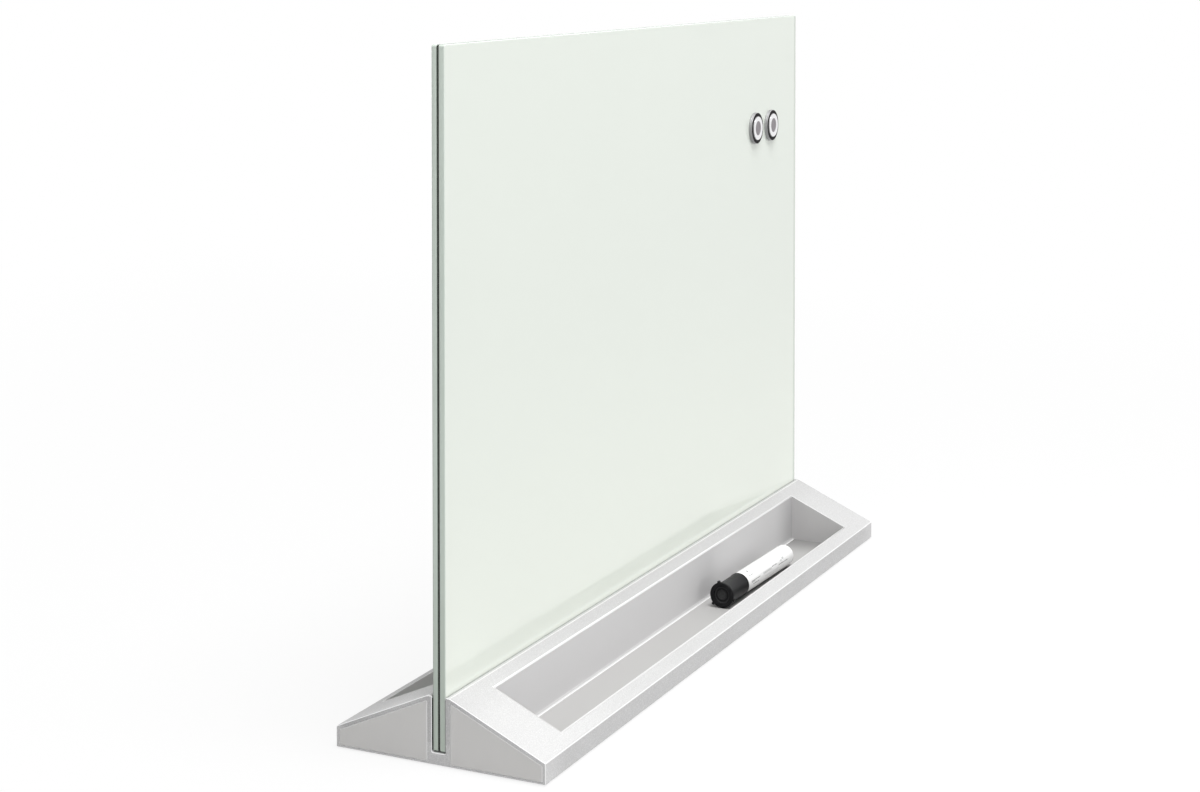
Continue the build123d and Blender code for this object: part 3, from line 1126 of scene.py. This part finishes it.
@dataclass
class BaseAssembly(SubAssembly):
    """The slotted base: extrusion, tray linings, end caps, slot strips, blocks and foot pads."""

    body: str = "base"
    length: float = 591.0
    depth: float = 143.6
    window_length: float = 513.0
    window_width: float = 47.0
    window_middle: float = 39.3
    lip_z: float = 13.8
    ridge_z: float = 42.3
    ridge_y: float = 7.7
    slot_y: float = 4.7
    rail_toes: tuple[float, float] = (18.8, 59.8)
    tray_floor_z: float = 3.0
    crevice_reach: float = 9.0
    shade_reach: float = 44.0
    foot_radius: float = 7.0
    foot_thickness: float = 1.0
    foot_groove: float = 0.2
    foot_dip: float = 0.15
    foot_end_margin: float = 30.0
    foot_side_margin: float = 16.0

    def build(self) -> None:
        """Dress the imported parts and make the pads."""
        self.dress(CoatedAluminium(self).material(), "base_extrusion")
        self.dress_trays()
        self.dress_ends()
        rubber = RUBBER.material()
        self.dress(rubber, "front_slot_strip", "rear_slot_strip", "glass_setting_blocks")
        self.make_pads(rubber)

    def dress_trays(self) -> None:
        """Dress the floors, rails and end plates of both trays."""
        end = self.window_length / 2
        # painted shade towards the trays' right end, deepest in the far corner, and a faint painted
        # shade from left to right
        corner = Fade(end - self.shade_reach, end, 0.42)
        along = Fade(-150.0, 180.0, 0.06)
        finishes = {
            "floor": MouldedPlastic(
                "tray_floor_sheet",
                (0.43, 0.425, 0.421, 1.0),
                crevice=self.crevice_reach,
                fades=(corner, along),
            ),
            # the end plates take a darker tone than the rails, as painted shade on the end walls
            "end_plates": MouldedPlastic("tray_end_plate", (0.535, 0.528, 0.53, 1.0)),
            "rails": MouldedPlastic(
                "tray_rail",
                (0.63, 0.625, 0.628, 1.0),
                # painted highlights along the rails' feet
                toes=self.rail_toes,
                toe_top=self.tray_floor_z + 0.2,
                fades=(replace(corner, loss=0.2), along),
            ),
        }
        for piece, finish in finishes.items():
            self.dress(finish.material(), f"front_tray_{piece}", f"rear_tray_{piece}")

    def dress_ends(self) -> None:
        """Dress the four end caps."""
        cap = MouldedPlastic(
            "end_cap_plastic",
            (0.69, 0.682, 0.671, 1.0),
            gloss=0.5,
            # painted highlight along the caps' arris
            arris_highlight_x=self.length / 2 - 0.25,
        )
        names = [f"{side.name}_{end.name}_end_cap".lower() for side in Side for end in End]
        self.dress(cap.material(), *names)

    def make_pads(self, rubber: Material) -> None:
        """Make the four foot pads, turned with a rounded rim and two shallow grip grooves.

        Args:
            rubber: Their finish.
        """
        corners = [
            (self.foot_dip, 0.0), (self.foot_dip, 3.0), (0.0, 3.3), (0.0, 4.6),
            (self.foot_groove, 4.9), (self.foot_groove, 5.3), (0.0, 5.6), (0.0, self.foot_radius),
            (self.foot_thickness, self.foot_radius), (self.foot_thickness, 0.0),
        ]
        pad = lathe("foot_pad", rounded_line(corners, 0.3), 48)
        work = bmesh.new()
        for end in End:
            for side in Side:
                x = end.value * (self.length / 2 - self.foot_end_margin) * MM
                y = side.value * (self.depth / 2 - self.foot_side_margin) * MM
                shifted = pad.copy()
                shifted.transform(Matrix.Translation((x, y, 0)))
                work.from_mesh(shifted)
                bpy.data.meshes.remove(shifted)
        name = "foot_pad_set"
        mesh = keep(work, bpy.data.meshes.new(name))
        self.fit(name, mesh, Matrix.Identity(4), [rubber], "black_rubber", "foot_pads")


@dataclass
class BoardAssembly(SubAssembly):
    """The glass board: two backed panes with a steel sheet held between two films."""

    body: str = "board"
    length: float = 589.0
    height: float = 423.0
    thickness: float = 4.0
    corner_radius: float = 1.5
    arris: float = 0.5
    core_inset: float = 0.6
    pack: float = 8.8
    bottom_z: float = 8.8

    def build(self) -> None:
        """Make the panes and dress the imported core."""
        edge, bright, ground, shaded_inner = (rim.material() for rim in (GlassEdge(), *ARRISES))
        # the front pane's arrises take the painted highlight, the rear pane's the painted shade
        self.make_pane(Side.FRONT, edge, bright, bright)
        self.make_pane(Side.REAR, edge, ground, shaded_inner)
        low = self.bottom_z + self.core_inset
        core = (self.length / 2 - self.core_inset, low, low + self.height - 2 * self.core_inset)
        zinc, dull = (0.42, 0.43, 0.42, 1.0), (0.30, 0.31, 0.30, 1.0)
        coat, grey = (0.86, 0.88, 0.86, 1.0), (0.80, 0.82, 0.80, 1.0)
        sheet = RolledSheet("galvanised_sheet", dull, zinc, 0.8, 0.35, core)
        film = RolledSheet("white_bond_film", grey, coat, 0.0, 0.5, core)
        self.dress(sheet.material(), "steel_sheet")
        self.dress(film.material(), "front_bond_film", "rear_bond_film")

    def make_pane(self, side: Side, *edges: Material) -> None:
        """Make one pane with rounded corners and arrises, its outer face on its own XZ plane.

        Args:
            side: The side that it faces.
            edges: The finishes of its edge, outer arrises and inner arrises.
        """
        curve = arc((self.arris, self.arris), self.arris, 270, 180, 4)
        levels = curve + [(inset, self.thickness - depth) for inset, depth in reversed(curve)]
        work = bmesh.new()
        loops = []
        for inset, depth in levels:
            length, height = self.length - 2 * inset, self.height - 2 * inset
            outline = rounded_rectangle(length, height, self.corner_radius - 0.5 * inset)
            y = -side.value * depth * MM
            loops.append([work.verts.new((x * MM, y, (z + inset) * MM)) for x, z in outline])
        outer = [PanePart.OUTER_ARRIS] * (len(curve) - 1)
        inner = [PanePart.INNER_ARRIS] * (len(curve) - 1)
        for part, first, second in zip([*outer, PanePart.EDGE, *inner], loops, loops[1:]):
            bridge(work, first, second, part.value)
        work.faces.new(loops[0])
        work.faces.new(loops[-1])
        bmesh.ops.recalc_face_normals(work, faces=work.faces)
        label = side.name.lower()
        mesh = keep(work, bpy.data.meshes.new(f"{label}_pane"), 40.0)
        for polygon in mesh.polygons:
            polygon.use_smooth = polygon.material_index != PanePart.FACE.value
        face = BackedGlass(self.length / 2, -side.value).material()
        matrix = Matrix.Translation((0, side.value * self.pack / 2 * MM, self.bottom_z * MM))
        self.fit(f"{label}_pane", mesh, matrix, [face, *edges], "board_glass", f"{label}_glass")


@dataclass
class BoardMagnet(SubAssembly):
    """A round board magnet: a turned chrome knob with a magnet pressed into its back."""

    body: str = "left_magnet"
    x: float = 202.0
    y: float = -4.5
    z: float = 344.7
    radius: float = 12.5
    height: float = 3.3
    flange: float = 1.3
    groove_radius: float = 11.9
    groove_end: float = 1.7
    step_radius: float = 12.3
    crown_radius: float = 9.3
    crown_height: float = 0.8
    arris: float = 0.2
    dish_radius: float = 5.4
    dish_depth: float = 0.5
    ring_radius: float = 3.2
    ring_height: float = 0.2
    boss_radius: float = 1.4
    pocket_radius: float = 8.6
    pocket_depth: float = 1.8

    def build(self, chrome: Material, nickel: Material) -> None:
        """Make the knob and dress its magnet.

        Args:
            chrome: The knob's finish.
            nickel: The magnet's finish.
        """
        name = f"{self.body}_turned_knob"
        out, up = Vector((0, -1, 0)), Vector((0, 0, 1))
        matrix = stand((self.x, self.y, self.z), up, out.cross(up), out)
        mesh = lathe(name, self.outline(), 128)
        self.fit(name, mesh, matrix, [chrome], "chrome_knob", f"{self.body}_knob")
        self.dress(nickel, f"{self.body}_disc")

    def outline(self) -> list[Point]:
        """The knob's outline, from the middle of its face round to its pocket."""
        top, foot = self.height, self.height - self.crown_height
        floor, raised = top - self.dish_depth, top - self.dish_depth + self.ring_height
        groove = (self.flange + self.groove_end) / 2
        corners = [
            (raised, 0.0), (raised, self.boss_radius - self.ring_height),
            (floor, self.boss_radius), (floor, self.ring_radius - self.ring_height),
            (raised, self.ring_radius), (floor, self.ring_radius + self.ring_height),
            (floor, self.dish_radius), (top, self.dish_radius + self.dish_depth),
            (top, self.crown_radius - self.arris), (top - self.arris, self.crown_radius),
            (foot, self.crown_radius), (foot, self.step_radius - self.arris),
            (foot - self.arris, self.step_radius),
            (self.groove_end + self.arris, self.step_radius),
            (self.groove_end, self.step_radius - self.arris), (groove, self.groove_radius),
            (self.flange, self.radius - self.arris), (self.flange - self.arris, self.radius),
            (self.arris, self.radius), (0.0, self.radius - self.arris), (0.0, self.pocket_radius),
            (self.pocket_depth, self.pocket_radius), (self.pocket_depth, 0.0),
        ]
        return rounded_line(corners, 0.12)


@dataclass
class Marker(SubAssembly):
    """The marker: barrel, nib holder, nib and reservoir, and the cap on its own body.

    Attributes:
        ear_length: The length of an ear, whose middle lies on the flange's rim.
        print_rows: The marks on the barrel, each with the fields of a PrintMark.
    """

    body: str = "marker"
    cap_x: float = 57.0
    cap_y: float = -36.5
    cap_z: float = 12.6
    yaw: float = 0.9
    length: float = 130.0
    radius: float = 8.1
    wall: float = 1.3
    cap_length: float = 33.0
    cap_mouth: float = 8.2
    cap_wall: float = 1.0
    cap_taper: float = 0.2
    cap_lip: float = 0.2
    flange_radius: float = 9.3
    flange_length: float = 2.4
    dish_radius: float = 5.8
    dish_depth: float = 1.6
    end_wall: float = 1.6
    mouth_gap: float = 0.3
    collar: float = 6.9
    neck_length: float = 12.0
    plug_depth: float = 8.0
    cone_length: float = 7.5
    cone_tip: float = 3.4
    nib_radius: float = 2.3
    nib_reach: float = 4.2
    ear_count: int = 3
    ear_length: float = 2.4
    ear_width: float = 2.0
    ear_angle: float = 105.0
    ear_bevel: float = 0.35
    print_rows: Sequence[Sequence[float]] = (
        (42.5, 2.5, 0.95, 0.95, 0.0, 1.0, True),
        (46.5, 4.4, 1.2, 0.5, 0.8, 0.2),
        (39.6, 6.6, 2.1, 0.22, 0.9),
        (44.0, 6.6, 1.3, 0.4, 0.8),
        (47.4, 11.2, 8.7, 0.26, 1.7),
        (42.2, 11.9, 3.4, 0.3, 0.9, 0.8),
        (47.4, 13.7, 5.4, 0.3, 1.3),
        (70.4, 10.8, 8.3, 0.75, 1.0, 0.45),
        (84.6, 10.0, 5.2, 0.27, 2.3),
        (98.2, 9.5, 1.8, 0.5, 0.8, 0.7),
        (102.4, 8.6, 1.6, 0.7, 0.7, 0.6),
        (102.0, 11.7, 10.0, 0.26, 2.6),
        (79.0, 13.7, 14.0, 0.5, 1.3, 0.18),
    )

    @property
    def mouth(self) -> float:
        """Where the barrel starts, along the marker."""
        return self.cap_length + self.mouth_gap

    @property
    def bore(self) -> float:
        """The inner radius of the barrel."""
        return self.radius - self.wall

    def matrix(self) -> Matrix:
        """Where the marker's frame stands: Z along the marker from its cap's end, X upwards."""
        drop = math.asin((self.flange_radius - self.radius) / (self.length - self.radius))
        turn = math.radians(self.yaw)
        level = math.cos(drop)
        along = Vector((math.cos(turn) * level, -math.sin(turn) * level, -math.sin(drop)))
        side = along.cross(Vector((0, 0, 1))).normalized()
        return stand((self.cap_x, self.cap_y, self.cap_z), side.cross(along), side, along)

    def build(self) -> None:
        """Make the marker's pieces and dress its reservoir."""
        self.make_barrel()
        self.make_tip()
        self.dress(FIBRE.material(), "marker_reservoir")
        self.make_cap()

    def make_barrel(self) -> None:
        """Make the barrel with its round end and its printed marks."""
        start, bore = self.mouth, self.bore
        round_start = self.length - self.radius
        outline = [
            (start + 6.0, bore), (start + 0.15, bore), (start, bore + 0.15),
            (start, self.radius - 0.2), (start + 0.2, self.radius),
            *[(along, self.radius) for along in (start + 20, start + 40, round_start - 10)],
            *arc((round_start, 0.0), self.radius, 90, 0, 20),
            *arc((round_start, 0.0), bore, 0, 90, 12), (start + 40, bore), (start + 6.0, bore),
        ]
        marks = [PrintMark(*row) for row in self.print_rows]
        finish = PrintedBarrel(self.radius, marks).material()
        name = "marker_printed_barrel"
        mesh = lathe(name, outline)
        self.fit(name, mesh, self.matrix(), [finish], "white_barrel", "marker_barrel")

    def make_tip(self) -> None:
        """Make the nib holder and the bullet nib."""
        start, collar, groove = self.mouth, self.collar, self.collar - 0.3
        neck = start - self.neck_length
        tip = neck - self.cone_length
        plug_end, plug = start + self.plug_depth, self.bore - 0.1
        hole = self.nib_radius + 0.1
        holder = [
            (plug_end, hole), (tip, hole), (tip, self.cone_tip), (neck, collar - 1.1),
            (neck, collar), (neck + 4.0, collar), (neck + 4.3, groove), (neck + 5.2, groove),
            (neck + 5.5, collar), (start, collar), (start, plug), (plug_end, plug),
            (plug_end, hole),
        ]
        black = SatinBlack(
            "black_nib_holder", (0.02, 0.02, 0.021, 1.0), (0.06, 0.06, 0.062, 1.0), 0.4
        ).material()
        name = "marker_ribbed_holder"
        mesh = lathe(name, rounded_line(holder, 0.25), 72)
        self.fit(name, mesh, self.matrix(), [black], "grey_holder", "marker_nib_holder")
        shoulder = tip - self.nib_reach + self.nib_radius
        nib = [
            *arc((shoulder, 0.0), self.nib_radius, 180, 90, 10),
            (plug_end, self.nib_radius),
            (plug_end, 0.0),
        ]
        name = "marker_bullet_nib"
        mesh = lathe(name, nib, 48)
        self.fit(name, mesh, self.matrix(), [FELT.material()], "ink_felt", "marker_nib")

    def make_cap(self) -> None:
        """Make the cap with its flange, ears, ringed end and lip, on the cap's own body."""
        bore = self.cap_mouth - self.cap_wall
        lip, lip_start = self.cap_mouth + self.cap_lip, self.cap_length - 1.2
        dish, end = self.dish_depth, self.dish_depth + self.end_wall
        corners = [
            (dish - 0.1, 0.0), (dish - 0.1, 1.0), (dish, 1.3), (dish, 2.6), (dish - 0.5, 2.7),
            (dish - 0.5, 3.4), (dish, 3.5), (dish, self.dish_radius),
            (0.1, self.dish_radius + 0.3), (0.0, self.dish_radius + 0.5),
            (0.0, self.flange_radius - 0.5), (0.5, self.flange_radius),
            (self.flange_length, self.flange_radius),
            (self.flange_length, self.cap_mouth - self.cap_taper), (lip_start, self.cap_mouth),
            (lip_start, lip), (self.cap_length, lip), (self.cap_length, bore),
            (self.cap_length - self.neck_length, bore), (end, bore - 0.9), (end, 0.0),
        ]
        name = "marker_eared_cap"
        mesh = lathe(name, rounded_line(corners, 0.22))
        work = bmesh.new()
        work.from_mesh(mesh)
        for step in range(self.ear_count):
            self.add_ear(work, math.radians(self.ear_angle + 360 / self.ear_count * step))
        black = SatinBlack(dish=(self.dish_radius, dish, 4.5, 0.5)).material()
        CapBody().fit(name, keep(work, mesh), self.matrix(), [black], "black_cap", "marker_cap")

    def add_ear(self, work: BMesh, turn: float) -> None:
        """Add one anti-roll ear to the cap's flange, with its edges bevelled.

        Args:
            work: The cap's mesh.
            turn: The ear's angle round the marker in radians.
        """
        verts = bmesh.ops.create_cube(work, size=MM)["verts"]
        sizes = (self.ear_length, self.ear_width, self.flange_length - 0.1, 1.0)
        spot = Matrix.Translation((self.flange_radius * MM, 0, self.flange_length / 2 * MM))
        matrix = Matrix.Rotation(turn, 4, "Z") @ spot @ Matrix.Diagonal(sizes)
        bmesh.ops.transform(work, verts=verts, matrix=matrix)
        edges = list({edge for vert in verts for edge in vert.link_edges})
        bevel = self.ear_bevel * MM
        bmesh.ops.bevel(work, geom=edges, offset=bevel, segments=3, profile=0.5, affect="EDGES")


@dataclass
class CapBody(SubAssembly):
    """The body that the marker's cap rides on."""

    body: str = "cap"


# ------------------------------------------------------------------ studio
@dataclass
class Softbox:
    """A square area lamp that faces the object.

    Attributes:
        name: The lamp's name.
        direction: Where it stands, seen from the object.
        distance: How far away, in metres.
        size: The length of its side, in metres.
        level: How bright it leaves a white card that faces it, where 1 is white.
    """

    name: str
    direction: tuple[float, float, float]
    distance: float
    size: float
    level: float
    aim: tuple[float, float, float] = (0.0, 0.0, 0.1)

    def build(self) -> None:
        """Add the lamp."""
        lamp = bpy.data.lights.new(self.name, "AREA")
        lamp.shape = "SQUARE"
        lamp.size = self.size
        lamp.energy = self.level * math.pi**2 * self.distance**2
        away = Vector(self.direction).normalized()
        spot = bpy.data.objects.new(self.name, lamp)
        spot.location = Vector(self.aim) + away * self.distance
        spot.rotation_euler = away.to_track_quat("Z", "Y").to_euler()
        bpy.context.scene.collection.objects.link(spot)


@dataclass
class Studio:
    """White surround, pale floor, two softboxes and the camera.

    Attributes:
        overhead_drop: The share of its light that the sky loses overhead.
        seen_colour: The floor's colour where it is seen.
        floor_cover: How much of plain white covers that.
        floor_fade: The reach over which the cover becomes whole, in millimetres.
    """

    front_sky: float = 0.98
    rear_sky: float = 0.34
    overhead_drop: float = 0.4
    floor_side: float = 14.0
    floor_colour: Colour = (0.5, 0.5, 0.5, 1.0)
    seen_colour: Colour = (0.8, 0.8, 0.8, 1.0)
    floor_cover: float = 0.85
    floor_fade: tuple[float, float] = (350.0, 1600.0)
    camera_spot: tuple[float, float, float] = (-1.41385, -0.64477, 0.49121)
    camera_pitch: float = 1.811
    camera_yaw: float = 64.318
    lens: float = 65.43
    shift: float = -0.3191

    def build(self) -> None:
        """Light the scene, lay the floor and set the camera."""
        scene = bpy.context.scene
        scene.view_settings.view_transform = "Standard"
        self.make_world()
        self.make_floor()
        for lamp in (
            Softbox("key_softbox", (-0.12, -0.27, 0.95), 3.0, 1.6, 0.92),
            Softbox("rear_softbox", (0.15, 1.0, 0.1), 3.0, 1.6, 0.35),
        ):
            lamp.build()
        self.make_camera()

    @staticmethod
    def seen(nodes: Nodes) -> Value:
        """A mask that is 1 for rays that show the surround itself, straight or in a reflection.

        Args:
            nodes: The node tree that needs it.

        Returns:
            The mask.
        """
        rays = nodes.node("ShaderNodeLightPath").outputs
        straight, glossy, through = (
            Value(nodes, rays[f"Is {kind} Ray"]) for kind in ("Camera", "Glossy", "Transmission")
        )
        return straight | glossy | through

    def make_world(self) -> None:
        """Make a soft sky, dimmer overhead and towards the rear, that is white where it is seen."""
        world = bpy.data.worlds.new("white_surround")
        bpy.context.scene.world = world
        world.use_nodes = True
        nodes = Nodes(world.node_tree)
        way = nodes.node("ShaderNodeTexCoord").outputs["Generated"]
        parts = nodes.node("ShaderNodeSeparateXYZ", inputs={"Vector": way})
        rearward = Value(nodes, parts.outputs["Y"]).rise(-0.25, 0.25)
        level = self.front_sky + (self.rear_sky - self.front_sky) * rearward
        level = level * (1.0 - self.overhead_drop * Value(nodes, parts.outputs["Z"]).rise(0.3, 0.9))
        light = nodes.node("ShaderNodeBackground", inputs={"Color": WHITE, "Strength": level})
        white = nodes.node("ShaderNodeBackground", inputs={"Color": WHITE, "Strength": 1.0})
        mixed = nodes.shaders(self.seen(nodes), light, white)
        nodes.node("ShaderNodeOutputWorld", inputs={"Surface": mixed.outputs[0]})

    def make_floor(self) -> None:
        """Lay a pale floor that still takes the object's shadow."""
        work = bmesh.new()
        bmesh.ops.create_grid(work, x_segments=8, y_segments=8, size=self.floor_side / 2)
        mesh = bpy.data.meshes.new("studio_floor")
        work.to_mesh(mesh)
        work.free()
        floor = bpy.data.objects.new("studio_floor", mesh)
        bpy.context.scene.collection.objects.link(floor)
        shader = Shader("pale_floor")
        card = shader.node("ShaderNodeBsdfDiffuse", inputs={"Color": self.floor_colour})
        pale = shader.node("ShaderNodeBsdfDiffuse", inputs={"Color": self.seen_colour})
        white = shader.node("ShaderNodeEmission", inputs={"Color": WHITE, "Strength": 1.0})
        x, y, _ = shader.place()
        far = (abs(x) | abs(y)).rise(*self.floor_fade)
        cover = self.floor_cover + (1.0 - self.floor_cover) * far
        mixed = shader.shaders(self.seen(shader), card, shader.shaders(cover, pale, white))
        shader.node("ShaderNodeOutputMaterial", inputs={"Surface": mixed.outputs[0]})
        mesh.materials.append(shader.material)

    def make_camera(self) -> None:
        """Set the camera."""
        lens = bpy.data.cameras.new("camera")
        lens.sensor_fit = "HORIZONTAL"
        lens.sensor_width = 36.0
        lens.lens = self.lens
        lens.shift_y = self.shift
        lens.clip_start = 0.05
        lens.clip_end = 100.0
        camera = bpy.data.objects.new("camera", lens)
        camera.location = self.camera_spot
        camera.rotation_euler = (
            math.radians(90 - self.camera_pitch),
            0.0,
            math.radians(-self.camera_yaw),
        )
        bpy.context.scene.collection.objects.link(camera)
        bpy.context.scene.camera = camera


def main() -> None:
    """Build each sub-assembly, then the studio."""
    logging.basicConfig(level=logging.INFO, format="%(name)s: %(message)s")
    BaseAssembly().build()
    BoardAssembly().build()
    chrome, nickel = Chrome(BoardMagnet()).material(), NICKEL.material()
    for body, x in (("left_magnet", 202.0), ("right_magnet", 235.7)):
        BoardMagnet(body=body, x=x).build(chrome, nickel)
    Marker().build()
    Studio().build()


if __name__ == "__main__":
    main()
